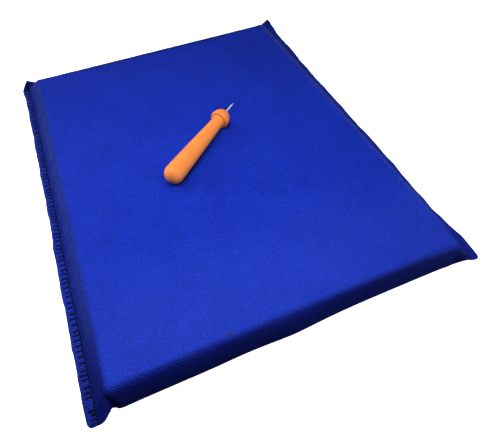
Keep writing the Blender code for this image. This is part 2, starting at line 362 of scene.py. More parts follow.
def stitch_stations(name, start, end):
    """Places of the stitches along a seam: hand-guided, so unevenly spaced."""
    rng = np.random.default_rng(SEEDS[name])
    count = int((end - start) / STITCH)
    steps = 1.0 + STITCH_SPREAD * rng.uniform(-1, 1, count)
    steps[:3] *= FIRST_STITCHES
    places = np.concatenate([[0.0], np.cumsum(steps)])
    return start + (end - start) * places / places[-1]


SIDE_ENDS = (FOLD_B + 1.2 * MM, SEAM_B + 1.5 * MM)
BACK_END = SEAM_A + 1.5 * MM
SEAM_ENDS = {"left": SIDE_ENDS, "right": SIDE_ENDS, "back": (-BACK_END, BACK_END)}
STATIONS = {name: stitch_stations(name, *ends) for name, ends in SEAM_ENDS.items()}


def pinch(station, stations):
    """1 at a stitch and 0 midway between two."""
    index = np.clip(np.searchsorted(stations, station), 1, len(stations) - 1)
    near = np.minimum(np.abs(station - stations[index - 1]), np.abs(station - stations[index]))
    return hill(near, 0.0, 0.28 * STITCH)


PUFF = 0.32 * MM  # how far the cloth stands up between stitches
TUCK = 0.30 * MM  # how far a stitch presses it down
PUFF_UP_SLOPE = 6.0 * MM
PUFF_UP_BACK = 26.0 * MM  # the back seam's puckers reach the top edge
CREASE = 0.16 * MM  # height of the creases across the side slopes


def seam_relief(past_seam, station, name, seed, reach=PUFF_UP_SLOPE):
    """Height of the cloth over its smooth surface near one seam."""
    held = pinch(station, STATIONS[name])
    uneven = 1.0 + 0.5 * wave(station, 23 * MM, seed)
    up_slope = smoothstep(1.0 + past_seam / reach) * (past_seam <= 0)
    on_flange = smoothstep(1.15 - past_seam / FLANGE) * (past_seam > 0)
    where = up_slope + on_flange
    line = hill(past_seam, LINE_OUT, 0.9 * MM)
    rungs = held * smoothstep(1.2 - past_seam / RUNG) * (past_seam > -0.5 * MM)
    puffed = PUFF * uneven * (1.0 - held) * where * (1 - 0.6 * line)
    return puffed - TUCK * np.maximum(0.8 * line, 0.7 * rungs)


def relief(a, b, side):
    """Height of the cloth over its smooth surface, from the seams' puckers."""
    left = seam_relief(-a - SEAM_A, b, "left", 41)
    right = seam_relief(a - SEAM_A, b, "right", 43)
    back = seam_relief(b - SEAM_B, a, "back", 47, PUFF_UP_BACK)
    near_side = np.where(a < 0, left, right) * (np.abs(a) > SEAM_A - PUFF_UP_SLOPE)
    near_side = near_side * (1.0 - rise(-b, -FOLD_B - 6 * MM, 6 * MM))
    near_back = back * rise(b, FLAT_BACK - 3 * MM, 3 * MM)
    clear_back = rise(-b, -SEAM_B - 2 * MM, 4 * MM)
    clear_side = rise(-np.abs(a), -SEAM_A - 2 * MM, 4 * MM)
    seams = near_side * clear_back + near_back * clear_side
    loose = rise(np.abs(a), FLAT_A, 4 * MM)
    creases = CREASE * wave(b + 0.35 * np.abs(a), 19 * MM, 51) * loose
    return np.where(side > 0, 1.0, 0.8) * (seams + creases)


swelling = {}  # of each layer: its lines across and along, and how each crossing moved


def swelling_at(a, b, side):
    """How the cloth simulation moved a place on the sheet. Nothing, if it has not run."""
    if side not in swelling:
        return 0.0
    lines_a, lines_b, offsets = swelling[side]
    total = 0.0
    for row, weight_b in line_weights(lines_b, b):
        for column, weight_a in line_weights(lines_a, a):
            total = total + offsets[row, column] * (weight_a * weight_b)[..., None]
    return total


def line_weights(lines, value):
    """Catmull-Rom weights of the four grid lines round each value, for even spacing."""
    spacing = lines[1] - lines[0]
    position = np.clip((value - lines[0]) / spacing, 0.0, len(lines) - 1.0001)
    base = position.astype(int)
    for offset, weight in zip((-1, 0, 1, 2), catmull_rom(position - base)):
        yield np.clip(base + offset, 0, len(lines) - 1), weight


def surface(a, b, side):
    """The finished outer surface of one layer."""
    a, b = np.broadcast_arrays(np.asarray(a, float), np.asarray(b, float))
    base = smooth_surface(a, b, side)
    normal = surface_normal(a, b, side)
    points = base + normal * relief(a, b, side)[..., None] + swelling_at(a, b, side)
    if side < 0:
        points[..., 2] = np.maximum(points[..., 2], 0.0)
    return points


# ---- cloth simulation

SIM_CELL = 5.0 * MM
SIM_SCALE = 10.0  # the solver's sheet is this many times larger
SIM_FRAMES = 20
SIM_SETTINGS = {
    "quality": 6,
    "mass": 0.05,
    "vertex_group_mass": "held",
    "use_pressure": True,
    "uniform_pressure_force": 4.0,
    "shrink_min": -0.006,
    "tension_stiffness": 12,
    "compression_stiffness": 12,
    "bending_stiffness": 0.3,
}
CAP_ON_BOARD = 0.15 * MM  # the most that the cloth may move, on the board and off it
CAP_LOOSE = 0.9 * MM


def looseness(a, b):
    """0 where the cloth is stretched flat over the board, 1 where it only has air behind it."""
    past = np.maximum(np.abs(a) - FLAT_A, np.maximum(b - FLAT_BACK, -b - FLAT_FRONT))
    return rise(past, -3.0 * MM, 8.0 * MM)


def simulate_swelling():
    """Blows each layer up over the board with its seams held, and keeps how each point moved."""
    columns = 2 * int(SEAM_A / SIM_CELL) + 1
    rows = 2 * int((SEAM_B - FOLD_B) / SIM_CELL / 2) + 1
    lines_a = np.linspace(-SEAM_A, SEAM_A, columns)
    lines_b = np.linspace(FOLD_B, SEAM_B, rows)
    grid_a, grid_b = np.meshgrid(lines_a, lines_b)
    for side in (1, -1):
        rest = smooth_surface(grid_a, grid_b, side)
        faces = []
        for row in range(rows - 1):
            for column in range(columns - 1):
                first = row * columns + column
                corners = (first, first + 1, first + columns + 1, first + columns)
                faces.append(corners if side > 0 else corners[::-1])
        mesh = new_mesh("swelling", (rest * SIM_SCALE).reshape(-1, 3).tolist(), faces)
        item = add_object("swelling", mesh)
        held = item.vertex_groups.new(name="held")
        edge = np.zeros((rows, columns), bool)
        edge[0] = edge[-1] = True
        edge[:, 0] = edge[:, -1] = True
        held.add([int(i) for i in np.flatnonzero(edge.ravel())], 1.0, "REPLACE")
        cloth = item.modifiers.new("cloth", "CLOTH")
        for name, value in SIM_SETTINGS.items():
            setattr(cloth.settings, name, value)
        cloth.settings.effector_weights.gravity = 0.0
        cloth.collision_settings.use_collision = False
        cloth.point_cache.frame_start = 1
        cloth.point_cache.frame_end = SIM_FRAMES
        scene = bpy.context.scene
        for step in range(1, SIM_FRAMES + 1):
            scene.frame_set(step)
        shape = item.evaluated_get(bpy.context.evaluated_depsgraph_get()).data
        moved = np.empty(len(shape.vertices) * 3)
        shape.vertices.foreach_get("co", moved)
        offsets = moved.reshape(rows, columns, 3) / SIM_SCALE - rest
        normal = surface_normal(grid_a, grid_b, side)
        outward = (offsets * normal).sum(-1, keepdims=True)
        offsets -= np.minimum(outward, 0.0) * normal  # the board holds the cloth out
        size = np.linalg.norm(offsets, axis=-1, keepdims=True)
        most = CAP_ON_BOARD + (CAP_LOOSE - CAP_ON_BOARD) * looseness(grid_a, grid_b)[..., None]
        offsets *= most * np.tanh(size / most) / np.maximum(size, 1e-9)
        swelling[side] = (lines_a, lines_b, offsets)
        scene.frame_set(1)
        bpy.data.objects.remove(item, do_unlink=True)
        bpy.data.meshes.remove(mesh)


# ---- the cover's mesh

FINE = 1.13 * MM  # three cells to a stitch
SLOPE_CELL = 0.9 * MM
FLANGE_CELLS = 8
COARSE = 4  # cells merged into one where the cloth is flat
FOLD_STEPS = 4
DOUBLED = 0.40  # how much the flange's second layer backs its first
DOUBLED_CORNER = 0.50  # and how much more it does at the back left corner


def spaced(start, end, step, multiple=1):
    count = max(int(round((end - start) / step / multiple)), 1) * multiple
    return np.linspace(start, end, count + 1)


def joined(*spans):
    return np.concatenate([spans[0]] + [span[1:] for span in spans[1:]])


def lines_across():
    flange = np.linspace(SEAM_A, RAW_A, FLANGE_CELLS + 1)
    slope = spaced(FLAT_A, SEAM_A, SLOPE_CELL, COARSE)
    flat = spaced(0.0, FLAT_A, FINE, COARSE)
    half = joined(flat, slope, flange)
    return np.concatenate([-half[:0:-1], half])


def lines_along():
    """From the back raw edge to the fold."""
    front = spaced(-FLAT_FRONT, FOLD_B, -SLOPE_CELL, COARSE)
    flat = spaced(FLAT_BACK, -FLAT_FRONT, -FINE, COARSE)
    slope = spaced(SEAM_B, FLAT_BACK, -SLOPE_CELL, COARSE)
    flange = np.linspace(RAW_B, SEAM_B, FLANGE_CELLS + 1)
    return joined(flange, slope, flat, front)


def block_size(a_low, a_high, b_low, b_high, side):
    """Cells of a block that merge into one: all on flat cloth, fewer near seams."""
    margin = 3.0 * MM
    flat_a = max(abs(a_low), abs(a_high)) < FLAT_A - margin
    flat_b = -FLAT_FRONT + margin < b_low and b_high < FLAT_BACK - margin
    if flat_a and flat_b:
        return COARSE
    return 1 if side > 0 else 2


def board_behind(a, b):
    """1 where the thin cloth lies on the white board, 0 over air, between in the flange."""
    start = FLAT_A + (3.0 * MM if a > 0 else -1.5 * MM)
    side = 1.0 - rise(abs(a), start, 4.5 * MM)
    back = 1.0 - rise(b, FLAT_BACK, 3.0 * MM)
    # the folded front counts as over air, so the painted shade of the front covers it
    front = 1.0 - rise(-b, FLAT_FRONT - 2.0 * MM, 8.0 * MM)
    doubled = DOUBLED if a > 0 else DOUBLED + DOUBLED_CORNER * rise(b, SEAM_B - 6 * MM, 6 * MM)
    flange = max(rise(abs(a), SEAM_A, MM), rise(b, SEAM_B, MM))
    return float(max(side * back * front, doubled * flange))


def fold_rows(lines_a):
    """Outer surface round the fold, between the two layers."""
    top = surface(lines_a, FOLD_B, 1)
    bottom = surface(lines_a, FOLD_B, -1)
    x = across(lines_a)[0]
    ear = ear_share(x)
    rows = []
    for step in range(1, FOLD_STEPS):
        turn = math.pi * step / FOLD_STEPS
        share = 0.5 - 0.5 * math.cos(turn)
        row = top * (1 - share) + bottom * share
        row[:, 1] -= ear * HALF_FLANGE * math.sin(turn)
        rows.append(row)
    return rows


def cover_faces(columns, top_rows, total_rows, lines_a, lines_b):
    """Rectangles of grid cells, large on flat cloth, as (column, row, columns, rows)."""
    cells = []
    last = total_rows - 1

    def add_block(column, row, side, b_low, b_high):
        step = block_size(lines_a[column], lines_a[column + COARSE], b_low, b_high, side)
        for j in range(0, COARSE, step):
            for i in range(0, COARSE, step):
                cells.append((column + i, row + j, step, step))

    for row in range(0, top_rows - 1, COARSE):
        b_low, b_high = lines_b[row + COARSE], lines_b[row]
        for column in range(0, columns - 1, COARSE):
            add_block(column, row, 1, b_low, b_high)
            add_block(column, last - row - COARSE, -1, b_low, b_high)
    for row in range(top_rows - 1, total_rows - top_rows):
        for column in range(columns - 1):
            cells.append((column, row, 1, 1))
    return cells


def face_outline(cell, used):
    """Grid points round a cell, with each neighbour's corner that lies on its sides."""
    column, row, wide, long = cell
    ring = [(column + i, row) for i in range(wide)]
    ring += [(column + wide, row + j) for j in range(long)]
    ring += [(column + wide - i, row + long) for i in range(wide)]
    ring += [(column, row + long - j) for j in range(long)]
    return [point for point in ring if point in used]


def build_cover(material):
    lines_a = lines_across()
    lines_b = lines_along()
    grid_a, grid_b = np.meshgrid(lines_a, lines_b)
    top = surface(grid_a, grid_b, 1)
    bottom = surface(grid_a, grid_b, -1)[::-1]
    points = np.concatenate([top, np.array(fold_rows(lines_a)), bottom])
    total_rows, columns = points.shape[:2]
    past_fold = 2 * FOLD_B - lines_b[::-1]
    fold_b = np.full(FOLD_STEPS - 1, FOLD_B)
    cloth_b = np.concatenate([lines_b, fold_b, past_fold])
    rows_b = np.concatenate([lines_b, fold_b, lines_b[::-1]])
    cells = cover_faces(columns, len(lines_b), total_rows, lines_a, lines_b)
    used = set()
    for column, row, wide, long in cells:
        used.update(
            ((column, row), (column + wide, row), (column, row + long), (column + wide, row + long))
        )
    order = {point: index for index, point in enumerate(sorted(used))}
    faces = [[order[p] for p in face_outline(cell, used)][::-1] for cell in cells]
    vertices = [points[row, column].tolist() for column, row in sorted(used)]
    mesh = new_mesh("cover_cloth", vertices, faces)
    cloth_mm = mesh.attributes.new("cloth_mm", "FLOAT_VECTOR", "POINT")
    places = [(lines_a[c] / MM, cloth_b[r] / MM, 0.0) for c, r in sorted(used)]
    cloth_mm.data.foreach_set("vector", np.array(places).ravel())
    backed = mesh.attributes.new("backed", "FLOAT", "POINT")
    backed.data.foreach_set("value", [board_behind(lines_a[c], rows_b[r]) for c, r in sorted(used)])
    shade(mesh, 60)
    cover = add_object("cover_cloth", mesh, material)
    thickness = cover.modifiers.new("cloth_thickness", "SOLIDIFY")
    thickness.thickness = CLOTH
    thickness.offset = -1.0
    thickness.use_even_offset = False
    thickness.use_quality_normals = True
    finish_piece(cover, "mat", "cover")


# ---- foam board


def build_foam(material):
    """The board inside: sawn faces, soft edges, and sides that pull in under the tight cover."""
    mesh = bpy.data.meshes.new("foam_board")
    work = bmesh.new()
    bmesh.ops.create_cube(work, size=1.0)
    bmesh.ops.subdivide_edges(work, edges=work.edges, cuts=23, use_grid_fill=True)
    size = (core_high - core_low) / 2
    middle = (core_high + core_low) / 2
    for vertex in work.verts:
        x, y, z = (2 * c for c in vertex.co)
        pull = 0.6 * MM * (1 - y * y) * abs(x) ** 6 * (1 - 0.5 * z * z)
        vertex.co = middle + Vector((x * (size.x - 0.1 * MM), y * (size.y - 0.1 * MM), z * size.z))
        vertex.co.x -= math.copysign(pull, x)
        vertex.co.z -= float(crushed(vertex.co.x, vertex.co.y)) * (z + 1) / 2
    work.to_mesh(mesh)
    work.free()
    shade(mesh, 40)
    board = add_object("foam_board", mesh, material)
    edges = board.modifiers.new("soft_edges", "BEVEL")
    edges.width = 2.0 * MM
    edges.segments = 4
    edges.angle_limit = math.radians(60)
    finish_piece(board, "mat", "foam_core")


# ---- threads

THREAD_SIDES = 8
THREAD_SAMPLES = 3
TWIST = 1.9 * MM  # length of one turn of a thread's two plies
PLY_DEPTH = 0.16  # how much the plies stand out, as a share of the radius
SUNK = 0.45 * MM  # how deep a plain stitch dips at its holes


def smooth_path(points, samples):
    """Catmull-Rom curve through the points."""
    points = np.asarray(points, float)
    padded = np.vstack([2 * points[0] - points[1], points, 2 * points[-1] - points[-2]])
    weights = np.transpose(catmull_rom(np.linspace(0, 1, samples, endpoint=False)))
    spans = [weights @ padded[first : first + 4] for first in range(len(points) - 1)]
    return np.vstack(spans + [points[-1:]])


def tube_parts(path, radius, twist_length):
    """Points and faces of a two-ply twisted strand along a path, with closed ends."""
    tangent = np.gradient(path, axis=0)
    tangent /= np.maximum(np.linalg.norm(tangent, axis=1, keepdims=True), 1e-12)
    travelled = arc_length(*path.T)
    side = np.cross(tangent[0], (0, 0, 1.0))
    if np.linalg.norm(side) < 0.1:
        side = np.cross(tangent[0], (1.0, 0, 0))
    angles = 2 * np.pi * np.arange(THREAD_SIDES) / THREAD_SIDES
    rings = []
    for point, direction, distance in zip(path, tangent, travelled):
        side = side - direction * np.dot(side, direction)
        side /= np.linalg.norm(side)
        other = np.cross(direction, side)
        turn = angles + 2 * np.pi * distance / twist_length
        lobed = radius * (1.0 + PLY_DEPTH * np.cos(2 * angles))
        rings.append(
            point + lobed[:, None] * (np.cos(turn)[:, None] * side + np.sin(turn)[:, None] * other)
        )
    end = len(path) * THREAD_SIDES
    indices = np.arange(end).reshape(-1, THREAD_SIDES).tolist()
    faces = ring_faces([[end]] + indices + [[end + 1]], THREAD_SIDES)
    return np.vstack(rings + [path[:1], path[-1:]]), faces


def ladder_path(stations, seed):
    """(along the seam, out from the thread line, lift) of a ladder-stitched thread."""
    rng = np.random.default_rng(seed)
    path = []
    gap = 0.85 * STRAND  # from a rung's middle to each of its two legs
    for index, station in enumerate(stations):
        length = RUNG * rng.uniform(0.88, 1.06)
        lean = rng.uniform(-0.25, 0.12) * MM
        lift = rng.uniform(0.0, 0.22) * MM
        if index:
            middle = 0.5 * (station + stations[index - 1])
            path.append((middle, rng.uniform(-0.12, 0.12) * MM, 0.05 * MM))
        leg = (  # across from the middle, lean, out, lift
            (1.05 * gap, 0.0, 0.0, 0.05 * MM),
            (0.9 * gap, 0.1 * lean, 0.14 * length, lift + 0.05 * MM),
            (0.9 * gap, 0.8 * lean, 0.80 * length, lift),
            (gap, lean, 0.97 * length, 0.0),
        )
        path += [(station - wide + slant, out, height) for wide, slant, out, height in leg]
        path.append((station + lean, length + 0.25 * MM, -0.35 * MM))
        path += [(station + wide + slant, out, height) for wide, slant, out, height in leg[::-1]]
    return np.array(path)


def line_path(stations):
    """The plain face of the same seam: short straight stitches that dip at each hole."""
    path = []
    for first, second in zip(stations, stations[1:]):
        length = second - first
        path.append((first, 0.0, -SUNK))
        path.append((first + 0.25 * length, 0.0, 0.02 * MM))
        path.append((first + 0.75 * length, 0.0, 0.02 * MM))
    return np.array(path + [(stations[-1], 0.0, -SUNK)])


def on_cloth(a, b, side, lift):
    """Points over one layer's outer surface."""
    b = np.maximum(b, FOLD_B + 0.2 * MM)
    points = surface(a, b, side) + surface_normal(a, b, side) * np.asarray(lift)[..., None]
    if side < 0:
        points[:, 2] = np.maximum(points[:, 2], STRAND)
    return points


def lay_on_seam(path, name, side):
    """Turns seam coordinates into points resting on the cloth."""
    station, out, lift = path.T
    line = LINE_OUT + out
    if name == "back":
        return on_cloth(station, SEAM_B + line, side, STRAND + lift)
    sign = -1.0 if name == "left" else 1.0
    return on_cloth(sign * (SEAM_A + line), station, side, STRAND + lift)


def tangle(a, b, spread, turns, seed):
    """A loose knot of thread ends on the top layer, round one place on the cloth."""
    rng = np.random.default_rng(seed)
    places = rng.uniform(-1.0, 1.0, (turns, 2)) * spread
    lift = STRAND * rng.uniform(1.0, 4.0, turns)
    path = smooth_path(np.column_stack([a + places[:, 0], b + places[:, 1], lift]), 5)
    path[:, 2] = np.maximum(path[:, 2], STRAND)
    return on_cloth(path[:, 0], path[:, 1], 1, path[:, 2])


KNOTS = (  # the ends of the left seam's thread: place on the cloth, half-size, turns
    (-(SEAM_A + 1.6 * MM), SEAM_B + 2.6 * MM, (1.6 * MM, 1.8 * MM), 4),
    (-(SEAM_A + 3.0 * MM), SEAM_B - 0.5 * MM, (1.0 * MM, 1.3 * MM), 4),
    (-(SEAM_A + 1.5 * MM), -HALF_Y - 2.0 * MM, (1.3 * MM, 0.7 * MM), 12),
)


def build_thread(piece, name, side, ladder_thread, line_thread, node):
    stations = STATIONS[name]
    if side == LADDER_SIDE[name]:
        shape = ladder_path(stations, SEEDS[name] + (100 if side < 0 else 0))
        material, slot = ladder_thread, "seam_thread"
    else:
        shape = line_path(stations)
        material, slot = line_thread, "seam_thread_plain"
    strands = [lay_on_seam(smooth_path(shape, THREAD_SAMPLES), name, side)]
    if name == "left" and side > 0:
        for number, (a, b, spread, turns) in enumerate(KNOTS):
            strands.append(tangle(a, b, np.array(spread), turns, 200 + number))
    points, faces = [], []
    for strand in strands:
        more, more_faces = tube_parts(strand, STRAND, TWIST)
        faces += [tuple(index + len(points) for index in face) for face in more_faces]
        points += more.tolist()
    mesh = new_mesh(piece, points, faces)
    mesh.shade_smooth()
    finish_piece(add_object(piece, mesh, material), "mat", node)


def build_threads(ladder_thread, line_thread):
    for name in STATIONS:
        for side, word, node_word in ((1, "upper", "needle"), (-1, "under", "bobbin")):
            piece, node = f"{name}_{word}_stitching", f"{name}_seam_{node_word}_thread"
            build_thread(piece, name, side, ladder_thread, line_thread, node)


# ---- awl


def node_points(name):
    return np.array([vertex.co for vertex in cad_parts[name].data.vertices], float)


def along_and_out(points, axis):
    run = points @ axis
    return run, np.linalg.norm(points - run[:, None] * axis, axis=1)


def measure_awl():
    """The awl's axis and its turned sizes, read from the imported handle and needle."""
    handle = node_points("awl_handle")
    needle = node_points("awl_needle")
    tip = needle[np.argmax(np.linalg.norm(needle - handle.mean(0), axis=1))]
    butt = handle[np.argmax(np.linalg.norm(handle - tip, axis=1))]
    axis = (tip - butt) / np.linalg.norm(tip - butt)
    run, radius = along_and_out(handle - butt, axis)
    needle_run, needle_radius = along_and_out(needle - butt, axis)
    sizes = {
        "butt": radius[run < 0.3 * run.max()].max(),
        "head": radius[run > 0.7 * run.max()].max(),
        "mouth": run.max(),
        "tip": needle_run.max(),
        "needle": needle_radius.max(),
        "needle_foot": needle_run.min(),
        "shoulder": needle_run[needle_radius > 0.5 * needle_radius.max()].max(),
    }
    head_at = run[np.argmax(np.where(run > 0.7 * run.max(), radius, 0.0))]
    waist = (run > 0.5 * run.max()) & (run < head_at) & (radius > 2.0 * MM)
    sizes["neck"] = radius[waist].min()
    sizes["neck_at"] = run[waist][np.argmin(radius[waist])]
    return butt, axis, sizes


def turned_mesh(name, profile, segments):
    """Closed solid of revolution about +X from (along, radius) points, pole to pole."""
    points, rings = [], []
    for run, radius in profile:
        count = segments if radius > 1e-7 else 1
        first = len(points)
        for step in range(count):
            turn = 2 * math.pi * step / segments
            points.append((run, radius * math.cos(turn), radius * math.sin(turn)))
        rings.append([first + step for step in range(count)])
    mesh = new_mesh(name, points, ring_faces(rings, segments))
    shade(mesh, 40)
    return mesh


def arc(centre, radii, start, end, steps):
    turns = np.radians(np.linspace(start, end, steps + 1))
    return [
        (centre[0] + radii[0] * math.cos(t), centre[1] + radii[1] * math.sin(t)) for t in turns
    ]


AWL_SEGMENTS = 96
RIM_ROUND = 1.0 * MM
NECK_ROUND = 1.2 * MM
TAPER_BULGE = 0.10 * MM
BORE_GAP = 0.05 * MM  # between the needle and its bore


def handle_outline(sizes):
    butt, neck, head, mouth = (sizes[name] for name in ("butt", "neck", "head", "mouth"))
    ball = arc((butt, 0.0), (butt, butt), 180, 88, 24)
    start, end = ball[-1], (sizes["neck_at"], neck)
    taper = []
    for share in np.linspace(0, 1, 25)[1:]:
        run, radius = (first + (last - first) * share for first, last in zip(start, end))
        taper.append((run, radius + TAPER_BULGE * math.sin(math.pi * share)))
    flare = arc((end[0], neck + NECK_ROUND), (NECK_ROUND, NECK_ROUND), -90, 0, 8)[1:]
    rim_x = flare[-1][0] + RIM_ROUND
    rim = arc((rim_x, head - RIM_ROUND), (RIM_ROUND, RIM_ROUND), 180, 90, 8)
    dome = arc((rim_x, 0.0), (mouth - rim_x, head), 90, 3, 28)[1:]
    bore = sizes["needle"] + BORE_GAP
    foot = sizes["needle_foot"] - 2 * BORE_GAP
    lip = [(mouth - 0.05 * MM, bore + 0.35 * MM), (mouth - 0.15 * MM, bore)]
    dome = [point for point in dome if point[1] > bore + 0.5 * MM]
    return [(0.0, 0.0)] + ball[1:] + taper + flare + rim + dome + lip + [(foot, bore), (foot, 0.0)]


def needle_outline(sizes):
    """A drawn needle whose ground point runs to a fine rounded tip."""
    names = ("needle_foot", "needle", "shoulder", "tip")
    foot, radius, shoulder, tip = (sizes[name] for name in names)
    outline = [(foot, 0.0)] + [(x, radius) for x in np.linspace(foot, shoulder, 12)]
    for share in np.linspace(0, 1, 12)[1:-1]:
        outline.append((shoulder + (tip - shoulder) * share, radius * (1 - share) ** 0.75))
    return outline + [(tip, 0.0)]


def build_awl(plastic, steel):
    butt, axis, sizes = measure_awl()
    turn = Vector((1, 0, 0)).rotation_difference(Vector(axis))
    place = Matrix.Translation(Vector(butt)) @ turn.to_matrix().to_4x4()
    parts = (
        ("awl_handle_moulded", handle_outline(sizes), AWL_SEGMENTS, plastic, "handle_plastic",
         "awl_handle"),
        ("awl_needle_ground", needle_outline(sizes), 32, steel, "needle_steel", "awl_needle"),
    )
    for name, outline, segments, material, slot, node in parts:
        mesh = turned_mesh(name, outline, segments)
        mesh.transform(place)
        finish_piece(add_object(name, mesh, material), "awl", node)


# ---- materials


class Shader:
    """A Principled material with short calls for the nodes that feed it."""

    def __init__(self, name):
        self.material = bpy.data.materials.new(name)
        self.material.use_nodes = True
        self.tree = self.material.node_tree
        self.principled = self.tree.nodes["Principled BSDF"]

    def link(self, source, target):
        if isinstance(source, (int, float, tuple)):
            target.default_value = source
        else:
            self.tree.links.new(source, target)

    def set(self, name, source):
        self.link(source, self.principled.inputs[name])

    def node(self, kind, **options):
        node = self.tree.nodes.new(kind)
        for name, value in options.items():
            setattr(node, name, value)
        return node

    def math(self, operation, first, second=0.0):
        node = self.node("ShaderNodeMath", operation=operation)
        self.link(first, node.inputs[0])
        self.link(second, node.inputs[1])
        return node.outputs[0]

    def times(self, first, second):
        return self.math("MULTIPLY", first, second)

    def plus(self, first, second):
        return self.math("ADD", first, second)

    def attribute(self, name, output):
        return self.node("ShaderNodeAttribute", attribute_name=name).outputs[output]

    def place(self):
        return self.node("ShaderNodeTexCoord").outputs["Object"]

    def vector_math(self, operation, vector, other=(0.0, 0.0, 0.0), output="Vector"):
        node = self.node("ShaderNodeVectorMath", operation=operation)
        self.link(vector, node.inputs[0])
        node.inputs[1].default_value = other
        return node.outputs[output]

    def scaled(self, vector, scale):
        return self.vector_math("MULTIPLY", vector, scale)

    def noise(self, vector, scale, detail=2.0, roughness=0.5, distortion=0.0):
        node = self.node("ShaderNodeTexNoise")
        names = ("Vector", "Scale", "Detail", "Roughness", "Distortion")
        for name, source in zip(names, (vector, scale, detail, roughness, distortion)):
            self.link(source, node.inputs[name])
        return node.outputs["Fac"]

    def ramp(self, value, low, high, out_low=0.0, out_high=1.0, smooth=True):
        node = self.node("ShaderNodeMapRange")
        node.interpolation_type = "SMOOTHSTEP" if smooth else "LINEAR"
        names = ("Value", "From Min", "From Max", "To Min", "To Max")
        for name, source in zip(names, (value, low, high, out_low, out_high)):
            self.link(source, node.inputs[name])
        return node.outputs["Result"]

    def mix(self, factor, first, second, blend="MIX"):
        node = self.node("ShaderNodeMix", data_type="RGBA", blend_type=blend)
        self.link(factor, node.inputs["Factor"])
        self.link(first, node.inputs[6])
        self.link(second, node.inputs[7])
        return node.outputs[2]

    def bump(self, height, distance, strength=1.0, normal=None):
        node = self.node("ShaderNodeBump")
        self.link(height, node.inputs["Height"])
        node.inputs["Distance"].default_value = distance
        node.inputs["Strength"].default_value = strength
        if normal is not None:
            self.link(normal, node.inputs["Normal"])
        return node.outputs["Normal"]


EMBOSS_WOBBLE = 0.9  # millimetres that the bonds wander by
RIB_SHARE = 0.60  # how strongly the bonds of free cloth run together into slanting rows
BOND_FREE = 0.92  # how dark the bonds look over air, and over the board: partly the thin spots' own look, partly painted shade in the dimples
BOND_BACKED = 0.20
BOND_AND_DIMPLE_SHADE_COLOUR = (0.0010, 0.0030, 0.050, 1)
EMBOSS_DEPTH = 0.50 * MM
EMBOSS_BACKED = 0.42  # share of that depth over the board
FELT_DEPTH = 0.12 * MM
BLUES = ((0.0036, 0.0200, 0.350, 1), (0.0055, 0.0270, 0.430, 1))
PAINTED_SHADE_BACK = (0.92, 0.84, 0.82, 1)  # painted shade: the cloth is darker towards its back and its right side
PAINTED_SHADE_RIGHT = (0.92, 0.88, 0.88, 1)
FREE_TINT = (0.95, 0.90, 0.80, 1)  # of cloth over air. Towards the front it gives way to painted shade on the folded front face
FRONT_PAINTED_SHADE = (0.36, 0.34, 0.44, 1)
SHEEN_FLAT = 0.02
SHEEN_EDGES = 0.10
SHEEN_FLANGE = 0.03
SCUFF = (-39.6, -139.4, 0.0)  # a small grey scuff on the cloth, in its millimetres
SCUFF_SHAPE = (0.33, 0.75, 1.0)
SCUFF_COLOUR = (0.022, 0.032, 0.085, 1)


def cloth_bonds(s, cloth, x, y, free):
    """1 in each bonded dimple of the staggered rows. Over air they run into slanting ribs."""
    wander = s.math("SUBTRACT", s.noise(cloth, 0.22, 1.0), 0.5)
    wobble = s.times(wander, EMBOSS_WOBBLE)
    u = s.times(s.plus(x, wobble), 2 * math.pi / EMBOSS_ACROSS)
    v = s.times(s.plus(y, wobble), 2 * math.pi / EMBOSS_ALONG)
    lattice = s.times(s.math("COSINE", u), s.math("COSINE", v))
    ribs = s.math("COSINE", s.plus(u, v))
    ribs = s.times(ribs, s.times(free, RIB_SHARE))
    return s.ramp(s.plus(lattice, ribs), -0.1, 0.85)


def cloth_colour(s, cloth, x, y, fibres, felt):
    """Uneven blue: clouds, patches, felted grain and pale fibres, with a painted highlight towards
    the front and painted shade towards the back and the right side.
    """
    cloud = s.noise(cloth, 0.035, 3.0, 0.55)
    patch = s.noise(cloth, 0.16, 3.0, 0.6)
    grain = s.ramp(felt, 0.30, 0.70)
    base = s.mix(s.ramp(cloud, 0.3, 0.7), *BLUES)
    layers = (
        (s.ramp(patch, 0.52, 0.28, 0.0, 0.60), (0.0028, 0.0160, 0.300, 1)),
        (s.ramp(patch, 0.52, 0.80, 0.0, 0.50), (0.0110, 0.0430, 0.570, 1)),
        (s.ramp(grain, 0.0, 0.5, 0.50, 0.0, False), (0.0020, 0.0100, 0.200, 1)),
        (s.ramp(grain, 0.5, 1.0, 0.0, 0.62, False), (0.0130, 0.0500, 0.720, 1)),
        (s.ramp(fibres, 0.35, 0.8, 0.0, 0.35), (0.0150, 0.0520, 0.660, 1)),
        (s.ramp(y, -50.0, -125.0, 0.0, 0.26), (0.030, 0.066, 0.58, 1)),  # painted highlight: paler, brighter blue towards the front of the top
    )
    for share, colour in layers:
        base = s.mix(share, base, colour)
    # painted shade: the cloth is darker towards its back and its right side
    for place, end, painted_shade in ((y, 150.0, PAINTED_SHADE_BACK), (x, 100.0, PAINTED_SHADE_RIGHT)):
        base = s.mix(s.ramp(place, 0.0, end), base, s.mix(1.0, base, painted_shade, "MULTIPLY"))
    return base


def scuffed(s, cloth, felt, base):
    offset = s.vector_math("SUBTRACT", cloth, SCUFF)
    reach = s.vector_math("LENGTH", s.scaled(offset, SCUFF_SHAPE), output="Value")
    ragged = s.plus(reach, s.times(felt, 0.8))
    return s.mix(s.ramp(ragged, 0.9, 1.5, 0.7, 0.0), base, SCUFF_COLOUR)


